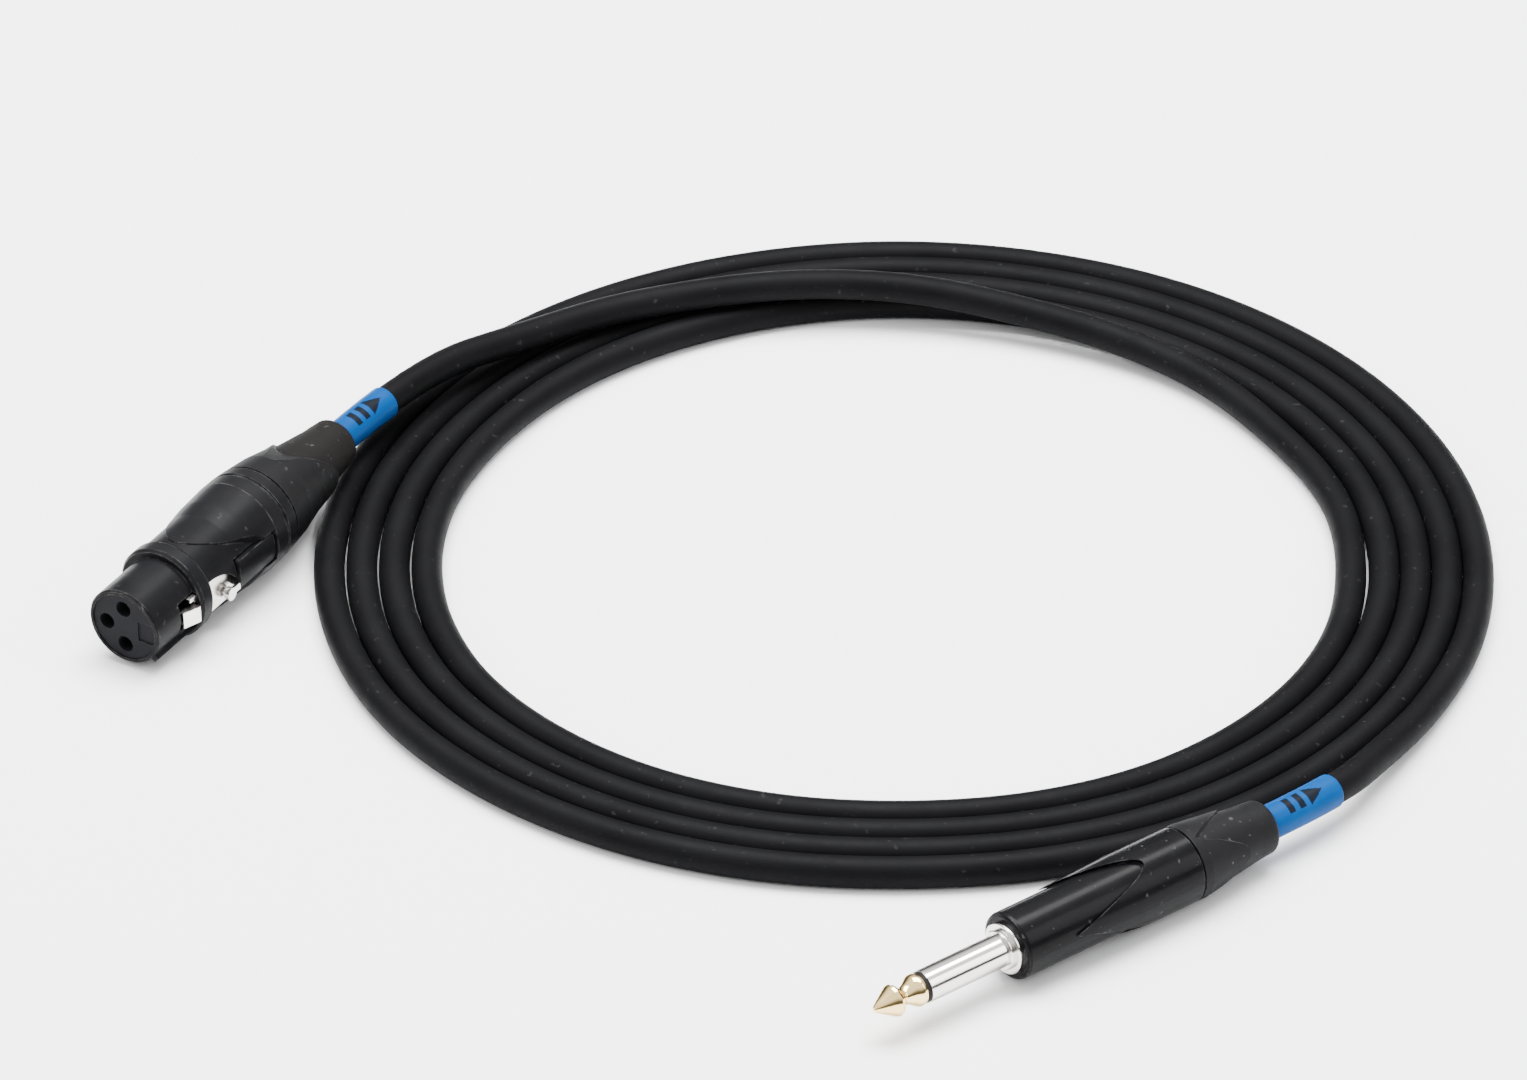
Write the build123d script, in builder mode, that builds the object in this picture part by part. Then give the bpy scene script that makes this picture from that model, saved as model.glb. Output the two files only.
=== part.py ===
"""Coiled microphone cable: female XLR at one end, 6.35 mm two-pole jack at the other."""
import math
import os

from build123d import *

# Cable
CABLE_D = 6.0
CABLE_R = CABLE_D / 2
SLEEVE_R = 3.35
SLEEVE_GAP = 0.03
CORE_R = 0.7

# Coil: strand centre radii every 30 degrees, clockwise from +X, of the first and the fourth turn
COIL_X = 41.5
COIL_Y = 63.05
FIRST_TURN = (87.6, 88.6, 89.0, 88.0, 89.7, 90.8, 89.9, 89.4, 91.0, 92.7, 93.0, 93.3)
FOURTH_TURN = (105.6, 106.6, 107.0, 106.0, 108.2, 109.6, 108.6, 108.2, 109.4, 110.7, 111.2, 111.3)
STATIONS = len(FIRST_TURN)
EDGE_POINTS = 30
STEP_LAP = 0.2
STEP_SLACK = 0.6

# Connectors: nose point, heading and rise of the axis, length
XLR_TIP = Vector(-104.7, 29.05, 9.1)
XLR_YAW = 58.07
XLR_TILT = 2.3
XLR_LENGTH = 72.15
JACK_TIP = Vector(35.7, -92.55, 7.4)
JACK_YAW = 38.85
JACK_LENGTH = 92.8

# XLR shell
NOSE_R = 7.95
NOSE_LENGTH = 12.5
RIB_ANGLE = 40.0
RIB_START = 0.6
RIB_FOOT_R = 7.6
RIB_TOP_R = 8.9
RIB_WIDTH = 1.5
COLLAR_R = 9.6
COLLAR_END = 16.2
NECK_R = 9.0
SHELL_END = 37.4
SPIGOT_R = 8.5
SPIGOT_END = 46.0
INSERT_R = 7.0
CAVITY_R = 7.6
PETAL_APEX = 17.5
PETAL_R = 10.15
BAND_END = 44.5
BAND_R = 9.85
TONGUE_APEX = 62.0
XLR_BOOT_START = 46.2
XLR_BOOT_BORE = 3.4

# XLR contacts
CONTACT_CIRCLE_R = 4.0
CONTACT_R = 1.6
SOCKET_R = 1.2
SOCKET_DEPTH = 13.0
KEYWAY_DEPTH = 0.3
CONTACT_START = 3.0
CONTACT_END = 32.0

# XLR latch
HOOK_START = 8.2
HOOK_CREST = 11.4
HOOK_END = 12.0
HOOK_PROUD = 9.4
HOOK_LOW = -2.5
HOOK_WIDTH = 3.4
TAB_START = 10.4
TAB_TOP = 8.2
PLATE_INNER = 7.0
PLATE_OUTER = 7.8
PLATE_START = 12.4
PLATE_HALF = 2.8
CHANNEL_TOP = 8.15
CHANNEL_HALF = 3.1
WINDOW_START = 7.5
BAY_START = 16.2
BUTTON_SLOT_HALF = 3.45
BUTTON_HALF = 3.1
BUTTON_START = 25.0
BUTTON_END = 36.6
BUTTON_GAP = 0.35
BUTTON_R = 9.75
PIVOT_H = 33.0
PIVOT_X = 6.7
PIVOT_R = 0.7
PIVOT_CLEARANCE = 0.05
PIVOT_HALF = 4.6
BARREL_R = 1.1
BARREL_HALF = 2.6
SPRING_H = 22.3
SPRING_Y = -2.6
SPRING_R = 1.1
SPRING_PITCH = 0.36
SPRING_FOOT = 8.05
SPRING_HEIGHT = 0.82
SPRING_WIRE_R = 0.15
SPRING_POST_R = 0.6
SPRING_CAP_R = 1.35
SPRING_CAP_X = 9.2
SPRING_CAP = 0.3

# Jack
JACK_R = 3.175
ROD_R = 1.2
TIP_END = 10.5
RING_R = 3.0
SLEEVE_NECK_R = 2.85
SLEEVE_SHOULDER = 29.3
RING_END = 11.4
FINGER_END = 31.2
COLLAR_STEP_R = 3.9
COLLAR_FLANGE_R = 5.0
SHELL_FRONT_R = 6.55
SHELL_REAR_R = 7.375
SHELL_BORE_R = 5.6
JACK_SHELL_END = 72.3
TONGUE_END = 61.3
PETAL_START = 42.5
TONGUE_ANGLES = (70.0, 190.0, 310.0)
PETAL_ANGLES = (10.0, 130.0, 250.0)
JACK_BOOT_START = 72.7
JACK_BOOT_BORE = 3.7
LEAF_APEX = 84.5
FIT = 0.05


def heading(yaw, tilt):
    """Unit vector along a connector, from its nose to its cable."""
    flat = math.cos(math.radians(tilt))
    x = flat * math.cos(math.radians(yaw))
    y = flat * math.sin(math.radians(yaw))
    return Vector(x, y, math.sin(math.radians(tilt)))


def sideways(yaw):
    """Level unit vector at right angles to a connector, to the right of its heading."""
    return Vector(math.sin(math.radians(yaw)), -math.cos(math.radians(yaw)), 0)


XLR_DIR = heading(XLR_YAW, XLR_TILT)
XLR_SIDE = sideways(XLR_YAW)
XLR_UP = XLR_SIDE.cross(XLR_DIR)
XLR_AXIS = Axis(XLR_TIP, XLR_DIR)
XLR_SECTION = Plane(origin=XLR_TIP, x_dir=XLR_SIDE, z_dir=XLR_UP)
XLR_FACING = Plane(origin=XLR_TIP, x_dir=XLR_DIR, z_dir=XLR_SIDE)
XLR_OVER = Plane(origin=XLR_TIP, x_dir=XLR_DIR, z_dir=XLR_UP)

JACK_DIR = heading(JACK_YAW, 0)
JACK_SIDE = sideways(JACK_YAW)
JACK_AXIS = Axis(JACK_TIP, JACK_DIR)
JACK_SECTION = Plane(origin=JACK_TIP, x_dir=JACK_SIDE, z_dir=(0, 0, 1))


def xlr_cross(height):
    """Plane across the XLR at a distance from its nose: x towards the latch, y down."""
    return Plane(origin=XLR_TIP + XLR_DIR * height, x_dir=XLR_SIDE, z_dir=XLR_DIR)


def jack_cross(height):
    """Plane across the jack at a distance from its tip."""
    return Plane(origin=JACK_TIP + JACK_DIR * height, x_dir=JACK_SIDE, z_dir=JACK_DIR)


def jack_facing(angle):
    """Plane through the jack's axis, square to the direction at an angle from its side."""
    turn = math.radians(angle)
    outward = JACK_SIDE * math.cos(turn) + Vector(0, 0, math.sin(turn))
    return Plane(origin=JACK_TIP, x_dir=JACK_DIR, z_dir=outward)


def coil_point(radius, angle, height):
    """Point at a radius and an angle about the coil's centre."""
    x = COIL_X + radius * math.cos(math.radians(angle))
    y = COIL_Y + radius * math.sin(math.radians(angle))
    return Vector(x, y, height)


def strand_radius(turns):
    """Centre radius of the cable after a number of clockwise turns from +X."""
    place = turns * STATIONS
    low = math.floor(place)
    part = place - low

    def station(count):
        lap = count // STATIONS
        step = count % STATIONS
        return FIRST_TURN[step] + (FOURTH_TURN[step] - FIRST_TURN[step]) * lap / 3

    return station(low) * (1 - part) + station(low + 1) * part


def bend_radii(points):
    """Largest neat radius at each corner: 0.45 of the shorter run over the half turn's tangent."""
    radii = []
    for before, corner, after in zip(points, points[1:], points[2:]):
        run_in = corner - before
        run_out = after - corner
        half_turn = math.radians(run_in.get_angle(run_out)) / 2
        radii.append(0.45 * min(run_in.length, run_out.length) / math.tan(half_turn))
    return radii


# ---------------------------------------------------------------- cable route
LEAD_START = 70.0
LEAD_BEND = 103.0
lead_points = [
    XLR_TIP + XLR_DIR * LEAD_START,
    XLR_TIP + XLR_DIR * LEAD_BEND,
    Vector(COIL_X - 62, COIL_Y + 78.5, 15),
    Vector(COIL_X - 22, COIL_Y + 92, 15),
    Vector(COIL_X + 20, COIL_Y + 86, 15),
    Vector(COIL_X + 52, COIL_Y + 64, 12),
    Vector(COIL_X + 76, COIL_Y + 32, 5),
    Vector(COIL_X + 83, COIL_Y - 3, CABLE_R),
    Vector(COIL_X + 81.7, COIL_Y - 33, CABLE_R),
]
TAIL_END = 90.0
TAIL_BEND = 127.3
tail_points = [
    Vector(COIL_X + 111.6, COIL_Y - 7.8, CABLE_R),
    Vector(COIL_X + 109.4, COIL_Y - 41, CABLE_R),
    JACK_TIP + JACK_DIR * TAIL_BEND,
    JACK_TIP + JACK_DIR * TAIL_END,
]
lead_radii = bend_radii(lead_points)
tail_radii = bend_radii(tail_points)
print("lead bend radii", [round(r, 1) for r in lead_radii])
print("tail bend radii", [round(r, 1) for r in tail_radii])

with BuildPart() as cable_xlr_lead:
    with BuildLine() as lead_path:
        FilletPolyline(*lead_points, radius=lead_radii)
    with BuildSketch(Plane(origin=lead_points[0], z_dir=lead_points[1] - lead_points[0])):
        Circle(CABLE_R)
    sweep()

with BuildPart() as cable_jack_lead:
    with BuildLine() as tail_path:
        FilletPolyline(*tail_points, radius=tail_radii)
    with BuildSketch(Plane(origin=tail_points[0], z_dir=tail_points[1] - tail_points[0])):
        Circle(CABLE_R)
    sweep()

CABLE_AREA = math.pi * CABLE_R ** 2
for lead, path in ((cable_xlr_lead, lead_path), (cable_jack_lead, tail_path)):
    length = path.wire().length
    print("lead length", round(length, 1), "volume ratio", round(lead.part.volume / length / CABLE_AREA, 4))

# The coil is one flat solid of the laid strands' outline, stepped where each lead joins it
lead_way = (lead_points[-1] - lead_points[-2]).normalized()
lead_out = Vector(-lead_way.Y, lead_way.X, 0)
tail_way = (tail_points[1] - tail_points[0]).normalized()
tail_out = Vector(-tail_way.Y, tail_way.X, 0)
INNER_STEP = 22.5 / 360
OUTER_STEP = 4.0 / 360
inner_edge = [lead_points[-1] - lead_out * (CABLE_R + STEP_LAP)]
outer_edge = [tail_points[0] + tail_out * (CABLE_R + STEP_LAP)]
for count in range(1, EDGE_POINTS):
    share = count / EDGE_POINTS
    slack = (STEP_SLACK - STEP_LAP) * share
    turns = INNER_STEP + share
    inner_edge.append(coil_point(strand_radius(turns) - CABLE_R + slack, -360 * turns, 0))
    turns = 4 + OUTER_STEP - share
    outer_edge.append(coil_point(strand_radius(turns) + CABLE_R - slack, -360 * turns, 0))
inner_edge.append(lead_points[-1] + lead_out * (CABLE_R + STEP_SLACK))
outer_edge.append(tail_points[0] - tail_out * (CABLE_R + STEP_SLACK))
inner_edge = [Vector(p.X, p.Y, 0) for p in inner_edge]
outer_edge = [Vector(p.X, p.Y, 0) for p in outer_edge]

with BuildPart() as cable_coil:
    with BuildSketch():
        with BuildLine():
            Spline(*outer_edge)
            Line(outer_edge[-1], outer_edge[0])
        make_face()
        with BuildLine():
            Spline(*inner_edge)
            Line(inner_edge[-1], inner_edge[0])
        make_face(mode=Mode.SUBTRACT)
    extrude(amount=CABLE_D)

wound = sum(strand_radius((k + 0.5) / 360) for k in range(22, 4 * 360 + 4)) * math.radians(1)
total = wound + lead_path.wire().length + tail_path.wire().length
print("cable length with ends inside the connectors", round(total + 22 + 29, 0))

# ---------------------------------------------------------------- XLR shell
with BuildPart() as xlr_shell:
    with BuildSketch(XLR_SECTION):
        with BuildLine():
            Polyline(
                (INSERT_R + FIT, 0),
                (NOSE_R - 0.3, 0),
                (NOSE_R, 0.4),
                (NOSE_R, NOSE_LENGTH),
                (COLLAR_R - 0.5, NOSE_LENGTH),
                (COLLAR_R, NOSE_LENGTH + 0.7),
                (COLLAR_R, COLLAR_END - 0.5),
                (COLLAR_R - 0.3, COLLAR_END),
                (NECK_R, COLLAR_END),
                (NECK_R, SHELL_END),
                (SPIGOT_R, SHELL_END),
                (SPIGOT_R, SPIGOT_END),
                (CAVITY_R, SPIGOT_END),
                (CAVITY_R, 13.2),
                (INSERT_R + FIT, 13.2),
                close=True,
            )
        make_face()
    revolve(axis=XLR_AXIS)
    # raised rib along the underside of the nose, from just behind its face to the collar
    with BuildSketch(xlr_cross(RIB_START)):
        with PolarLocations((RIB_FOOT_R + RIB_TOP_R) / 2, 1, start_angle=RIB_ANGLE):
            Rectangle(RIB_TOP_R - RIB_FOOT_R, RIB_WIDTH)
    extrude(amount=NOSE_LENGTH + 0.5 - RIB_START)

with BuildPart() as xlr_petals:
    with BuildSketch(XLR_SECTION):
        with BuildLine():
            Polyline(
                (NECK_R - 0.2, PETAL_APEX),
                (NECK_R + 0.2, PETAL_APEX),
                (9.35, 26.5),
                (9.8, 30.5),
                (PETAL_R, SHELL_END),
                (NECK_R - 0.2, SHELL_END),
                close=True,
            )
        make_face()
    revolve(axis=XLR_AXIS)
    with BuildSketch(XLR_OVER.offset(-12)):
        with BuildLine():
            Spline((33.4, -9.2), (27.0, -7.1), (20.4, -4.0), (PETAL_APEX, 0), (20.4, 4.0), (27.0, 7.1), (33.4, 9.2))
            Polyline((33.4, 9.2), (SHELL_END + 1, 11.5), (SHELL_END + 1, -11.5), (33.4, -9.2))
        make_face()
    extrude(amount=24, mode=Mode.INTERSECT)

with BuildPart() as xlr_housing:
    add(xlr_shell.part)
    add(xlr_petals.part)
    # window in the nose for the latch hook
    with BuildSketch(XLR_FACING.offset(6.0)):
        with Locations(((WINDOW_START + NOSE_LENGTH) / 2, 0)):
            Rectangle(NOSE_LENGTH - WINDOW_START, 2 * CHANNEL_HALF)
    extrude(amount=6, mode=Mode.SUBTRACT)
    # channel that takes the latch plate under the collar and the neck
    with BuildSketch(XLR_FACING.offset(6.0)):
        with Locations(((WINDOW_START + BUTTON_START) / 2, 0)):
            Rectangle(BUTTON_START - WINDOW_START, 2 * CHANNEL_HALF)
    extrude(amount=CHANNEL_TOP - 6.0, mode=Mode.SUBTRACT)
    # open bay behind the collar, and the slot for the push button
    with BuildSketch(XLR_FACING.offset(6.0)):
        with BuildLine():
            Spline((BAY_START, 3.2), (19.5, 2.9), (22.6, 1.6), (25.0, -0.8), (26.5, -3.4))
            Polyline((26.5, -3.4), (24.6, -5.2), (BAY_START, -5.2), (BAY_START, 3.2))
        make_face()
        with Locations(((BUTTON_START - BUTTON_GAP + SHELL_END - 0.3) / 2, 0)):
            Rectangle(SHELL_END - 0.3 - BUTTON_START + BUTTON_GAP, 2 * BUTTON_SLOT_HALF)
    extrude(amount=6, mode=Mode.SUBTRACT)
    # pivot pin holes
    with BuildSketch(XLR_OVER.offset(-PIVOT_HALF)):
        with Locations((PIVOT_H, -PIVOT_X)):
            Circle(PIVOT_R)
    extrude(amount=2 * PIVOT_HALF, mode=Mode.SUBTRACT)

# ---------------------------------------------------------------- XLR insert and contacts
contact_places = [(0, -CONTACT_CIRCLE_R), (0, CONTACT_CIRCLE_R), (-CONTACT_CIRCLE_R, 0)]

with BuildPart() as xlr_insert:
    with BuildSketch(xlr_cross(0.25)):
        Circle(INSERT_R)
    extrude(amount=12.9)
    with BuildSketch(xlr_cross(13.15)):
        Circle(INSERT_R - 0.4)
    extrude(amount=15.85)
    with BuildSketch(xlr_cross(0.25)):
        with Locations(*contact_places):
            Circle(CONTACT_R + FIT)
    extrude(amount=CONTACT_END, mode=Mode.SUBTRACT)
    # keyway on the latch side
    with BuildSketch(xlr_cross(0.25)):
        with Locations((4.9, 0)):
            Rectangle(3.6, 4.2)
    extrude(amount=KEYWAY_DEPTH, mode=Mode.SUBTRACT)
    # flat that leaves room for the latch to be pressed in
    with BuildSketch(xlr_cross(7.2)):
        with Locations((7.2, 0)):
            Rectangle(4.0, 12.0)
    extrude(amount=24, mode=Mode.SUBTRACT)

contacts = []
for place in contact_places:
    with BuildPart() as contact:
        with BuildSketch(xlr_cross(CONTACT_START)):
            with Locations(place):
                Circle(CONTACT_R)
        extrude(amount=CONTACT_END - 4 - CONTACT_START)
        with BuildSketch(xlr_cross(CONTACT_START)):
            with Locations(place):
                Circle(SOCKET_R)
        extrude(amount=SOCKET_DEPTH, mode=Mode.SUBTRACT)
        # solder cup, open on its inner side
        with BuildSketch(xlr_cross(CONTACT_END - 4)):
            with Locations(place):
                Circle(CONTACT_R - 0.3)
        extrude(amount=4)
        with BuildSketch(xlr_cross(CONTACT_END - 3)):
            with Locations(place):
                Circle(CORE_R + 0.1)
        extrude(amount=3, mode=Mode.SUBTRACT)
    contacts.append(contact)
xlr_contact_ground = contacts[0]
xlr_contact_hot = contacts[1]
xlr_contact_cold = contacts[2]

with BuildPart() as xlr_shell_tab:
    with BuildSketch(xlr_cross(17)):
        with Locations((-7.05, 0)):
            Rectangle(0.5, 3.0)
    extrude(amount=16)

# ---------------------------------------------------------------- XLR latch
with BuildPart() as xlr_latch:
    with BuildSketch(XLR_FACING.offset(PLATE_INNER)):
        with Locations(((PLATE_START + PIVOT_H) / 2, 0)):
            Rectangle(PIVOT_H - PLATE_START, 2 * PLATE_HALF)
        # wide part that shows in the bay
        with Locations((20.8, -0.8)):
            RectangleRounded(7.6, 7.2, 0.8)
        with Locations(((HOOK_START + PLATE_START + 0.1) / 2, HOOK_LOW + HOOK_WIDTH / 2)):
            Rectangle(PLATE_START + 0.1 - HOOK_START, HOOK_WIDTH)
    extrude(amount=PLATE_OUTER - PLATE_INNER)
    # small tab beside the hook
    with BuildSketch(XLR_FACING.offset(PLATE_INNER)):
        with Locations(((TAB_START + PLATE_START) / 2, PLATE_HALF - 0.4)):
            Rectangle(PLATE_START - TAB_START, 0.8)
    extrude(amount=TAB_TOP - PLATE_INNER)
    # hook with a sloped lead-in
    with BuildSketch(XLR_SECTION.offset(HOOK_LOW)):
        with BuildLine():
            Polyline(
                (PLATE_OUTER - 0.2, HOOK_START),
                (PLATE_OUTER + 0.3, HOOK_START),
                (HOOK_PROUD, HOOK_CREST),
                (HOOK_PROUD, HOOK_END),
                (PLATE_OUTER - 0.2, HOOK_END),
                close=True,
            )
        make_face()
    extrude(amount=HOOK_WIDTH)
    # barrel around the pivot pin
    with BuildSketch(XLR_OVER.offset(-BARREL_HALF)):
        with Locations((PIVOT_H, -PIVOT_X)):
            Circle(BARREL_R)
    extrude(amount=2 * BARREL_HALF)
    with BuildSketch(XLR_OVER.offset(-PLATE_HALF)):
        with Locations((PIVOT_H, -PIVOT_X)):
            Circle(PIVOT_R + PIVOT_CLEARANCE)
    extrude(amount=2 * PLATE_HALF, mode=Mode.SUBTRACT)
    # post, cap and arm that hold the spring
    with BuildSketch(XLR_FACING.offset(PLATE_OUTER - 0.1)):
        with Locations((SPRING_H, SPRING_Y)):
            Circle(SPRING_POST_R)
    extrude(amount=SPRING_CAP_X - PLATE_OUTER + 0.2)
    with BuildSketch(XLR_FACING.offset(SPRING_CAP_X)):
        with Locations((SPRING_H, SPRING_Y)):
            Circle(SPRING_CAP_R)
        with Locations(((SPRING_H + BUTTON_START) / 2, SPRING_Y + 0.4)):
            Rectangle(BUTTON_START - SPRING_H, 1.4)
    extrude(amount=SPRING_CAP)

with BuildPart() as button_skin:
    with BuildSketch(xlr_cross(BUTTON_START)):
        Circle(BUTTON_R)
    extrude(amount=BUTTON_END - BUTTON_START)

with BuildPart() as xlr_push_button:
    with BuildSketch(XLR_FACING.offset(PLATE_OUTER)):
        with Locations(((BUTTON_START + BUTTON_END) / 2, 0)):
            RectangleRounded(BUTTON_END - BUTTON_START, 2 * BUTTON_HALF, 0.9)
    extrude(amount=4)
    add(button_skin.part, mode=Mode.INTERSECT)

with BuildPart() as xlr_latch_pin:
    with BuildSketch(XLR_OVER.offset(-PIVOT_HALF)):
        with Locations((PIVOT_H, -PIVOT_X)):
            Circle(PIVOT_R)
    extrude(amount=2 * PIVOT_HALF)

with BuildPart() as xlr_latch_spring:
    spring_foot = XLR_TIP + XLR_DIR * SPRING_H + XLR_UP * SPRING_Y + XLR_SIDE * (SPRING_FOOT + SPRING_WIRE_R)
    with BuildLine() as coil_line:
        Helix(SPRING_PITCH, SPRING_HEIGHT, SPRING_R, center=spring_foot, direction=XLR_SIDE)
    with BuildSketch(Plane(origin=coil_line.line @ 0, z_dir=coil_line.line % 0)):
        Circle(SPRING_WIRE_R)
    sweep(is_frenet=True)

# ---------------------------------------------------------------- XLR rear end
with BuildPart() as xlr_coding_ring:
    with BuildSketch(XLR_SECTION):
        with BuildLine():
            Polyline(
                (SPIGOT_R, SHELL_END),
                (PETAL_R, SHELL_END),
                (PETAL_R - 0.05, 40.6),
                (PETAL_R - 0.4, 40.8),
                (PETAL_R - 0.4, 41.2),
                (PETAL_R - 0.1, 41.4),
                (BAND_R, BAND_END - 0.5),
                (BAND_R - 0.35, BAND_END - 0.3),
                (BAND_R - 0.35, BAND_END),
                (SPIGOT_R, BAND_END),
                close=True,
            )
        make_face()
    revolve(axis=XLR_AXIS)
    # grip slots, in two staggered rows
    for row, first in ((38.7, 0.0), (42.2, 30.0)):
        with BuildSketch(xlr_cross(row)):
            with PolarLocations(0, 6, start_angle=first):
                SlotArc(CenterArc((0, 0), PETAL_R, -16, 32, mode=Mode.PRIVATE), 1.0)
        extrude(amount=0.8, mode=Mode.SUBTRACT)

with BuildPart() as xlr_rear_cover:
    with BuildSketch(XLR_SECTION):
        with BuildLine():
            Polyline(
                (SPIGOT_R, BAND_END),
                (BAND_R - 0.1, BAND_END),
                (9.15, 49.8),
                (8.0, 55.2),
                (7.4, 60.0),
                (7.25, TONGUE_APEX),
                (6.4, TONGUE_APEX),
                (7.45, 55.5),
                (7.8, 50.0),
                (7.95, XLR_BOOT_START),
                (SPIGOT_R, XLR_BOOT_START),
                close=True,
            )
        make_face()
    revolve(axis=XLR_AXIS)
    with BuildSketch(XLR_FACING.offset(-12)):
        with BuildLine():
            Spline((49.0, -9.4), (55.5, -7.0), (60.2, -3.8), (TONGUE_APEX, 0), (60.2, 3.8), (55.5, 7.0), (49.0, 9.4))
            Polyline((49.0, 9.4), (47.5, 12), (BAND_END - 1, 12), (BAND_END - 1, -12), (47.5, -12), (49.0, -9.4))
        make_face()
    extrude(amount=24, mode=Mode.INTERSECT)

with BuildPart() as xlr_bushing:
    with BuildSketch(XLR_SECTION):
        with BuildLine():
            Polyline(
                (5.9, 39.5),
                (CAVITY_R - FIT, 39.5),
                (CAVITY_R - FIT, SPIGOT_END),
                (CAVITY_R + 0.2, SPIGOT_END),
                (CAVITY_R + 0.2, XLR_BOOT_START),
                (5.9, XLR_BOOT_START),
                close=True,
            )
        make_face()
    revolve(axis=XLR_AXIS)

with BuildPart() as xlr_boot:
    with BuildSketch(XLR_SECTION):
        with BuildLine():
            Polyline(
                (6.4, XLR_BOOT_START),
                (7.9, XLR_BOOT_START),
                (7.75, 50.0),
                (7.4, 55.5),
                (6.35, 62.0),
                (5.6, 66.6),
                (5.25, 70.0),
                (5.05, XLR_LENGTH),
                (XLR_BOOT_BORE, XLR_LENGTH),
                (XLR_BOOT_BORE, 60.0),
                (5.2, 57.6),
                close=True,
            )
        make_face()
    revolve(axis=XLR_AXIS)
    rear_rim = edges().filter_by(GeomType.CIRCLE).sort_by(XLR_AXIS)[-2:].sort_by(SortBy.RADIUS)[-1]
    fillet(rear_rim, radius=1.4)

with BuildPart() as xlr_chuck:
    with BuildSketch(XLR_SECTION):
        with BuildLine():
            Polyline((CABLE_R, 47.0), (5.8, 47.0), (6.0, 48.5), (4.9, 57.0), (CABLE_R, 57.0), close=True)
        make_face()
    revolve(axis=XLR_AXIS)
    with BuildSketch(xlr_cross(50)):
        with PolarLocations(0, 4):
            with Locations((5, 0)):
                Rectangle(6, 0.8)
    extrude(amount=8, mode=Mode.SUBTRACT)

with BuildPart() as xlr_cable_end:
    with BuildSketch(xlr_cross(48)):
        Circle(CABLE_R)
    extrude(amount=LEAD_START - 48)


def wire_run(frame, stops, radius):
    """Insulated core through points given as (across, down, along) in a connector."""
    points = [frame(along).from_local_coords((across, down, 0)) for across, down, along in stops]
    with BuildPart() as core:
        with BuildLine():
            FilletPolyline(*points, radius=2.0)
        with BuildSketch(Plane(origin=points[0], z_dir=points[1] - points[0])):
            Circle(radius)
        sweep()
    return core


xlr_core_hot = wire_run(xlr_cross, [(0, 1.2, 48), (0, 1.2, 43), (0, 4, 37), (0, 4, 29.2)], CORE_R)
xlr_core_shield = wire_run(xlr_cross, [(0, -1.2, 48), (0, -1.2, 43), (0, -4, 37), (0, -4, 29.2)], CORE_R)

with BuildPart() as xlr_label_sleeve:
    with BuildSketch(xlr_cross(XLR_LENGTH + 0.15)):
        Circle(SLEEVE_R)
        Circle(CABLE_R + SLEEVE_GAP, mode=Mode.SUBTRACT)
    extrude(amount=15.8)

# ---------------------------------------------------------------- jack plug
with BuildPart() as jack_tip:
    with BuildSketch(JACK_SECTION):
        with BuildLine():
            Polyline((0, 0), (0.45, 0.15), (0.95, 0.9), (2.95, 4.2), (3.1, 4.7), (2.9, 5.2), (2.3, 5.8))
            Spline((2.3, 5.8), (1.75, 6.9), (2.25, 8.1), (2.95, 9.2), (3.1, 10.0))
            Polyline((3.1, 10.0), (3.0, TIP_END), (ROD_R, TIP_END), (ROD_R, 38.5), (0, 38.5), (0, 0))
        make_face()
    revolve(axis=JACK_AXIS)

with BuildPart() as jack_tip_insulator:
    with BuildSketch(JACK_SECTION):
        with BuildLine():
            Polyline(
                (ROD_R, TIP_END),
                (RING_R, TIP_END),
                (RING_R, RING_END),
                (2.1, RING_END),
                (2.1, 34.0),
                (ROD_R, 34.0),
                close=True,
            )
        make_face()
    revolve(axis=JACK_AXIS)

with BuildPart() as jack_sleeve:
    with BuildSketch(jack_cross(RING_END)):
        Circle(JACK_R)
        Circle(2.1, mode=Mode.SUBTRACT)
    extrude(amount=SLEEVE_SHOULDER - RING_END)
    with BuildSketch(jack_cross(SLEEVE_SHOULDER)):
        Circle(SLEEVE_NECK_R)
        Circle(2.1, mode=Mode.SUBTRACT)
    extrude(amount=33.5 - SLEEVE_SHOULDER)

with BuildPart() as jack_collar:
    with BuildSketch(JACK_SECTION):
        with BuildLine():
            Polyline(
                (SLEEVE_NECK_R, SLEEVE_SHOULDER),
                (COLLAR_STEP_R - 0.2, SLEEVE_SHOULDER),
                (COLLAR_STEP_R, 29.5),
                (COLLAR_STEP_R, 30.2),
                (COLLAR_FLANGE_R - 0.2, 30.2),
                (COLLAR_FLANGE_R, 30.4),
                (COLLAR_FLANGE_R, 32.4),
                (SLEEVE_NECK_R, 32.4),
                close=True,
            )
        make_face()
    revolve(axis=JACK_AXIS)

with BuildPart() as jack_shell:
    with BuildSketch(JACK_SECTION):
        with BuildLine():
            Polyline(
                (COLLAR_FLANGE_R, FINGER_END),
                (SHELL_FRONT_R - 0.7, FINGER_END),
                (SHELL_FRONT_R - 0.2, FINGER_END + 0.25),
                (SHELL_FRONT_R, FINGER_END + 0.8),
                (SHELL_FRONT_R, PETAL_START - 0.8),
                (SHELL_FRONT_R + 0.4, PETAL_START + 0.2),
                (7.15, 50.0),
                (SHELL_REAR_R, 58.0),
                (SHELL_REAR_R, JACK_SHELL_END),
                (SHELL_BORE_R, JACK_SHELL_END),
                (SHELL_BORE_R, 32.4),
                (COLLAR_FLANGE_R, 32.4),
                close=True,
            )
        make_face()
    revolve(axis=JACK_AXIS)

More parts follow.
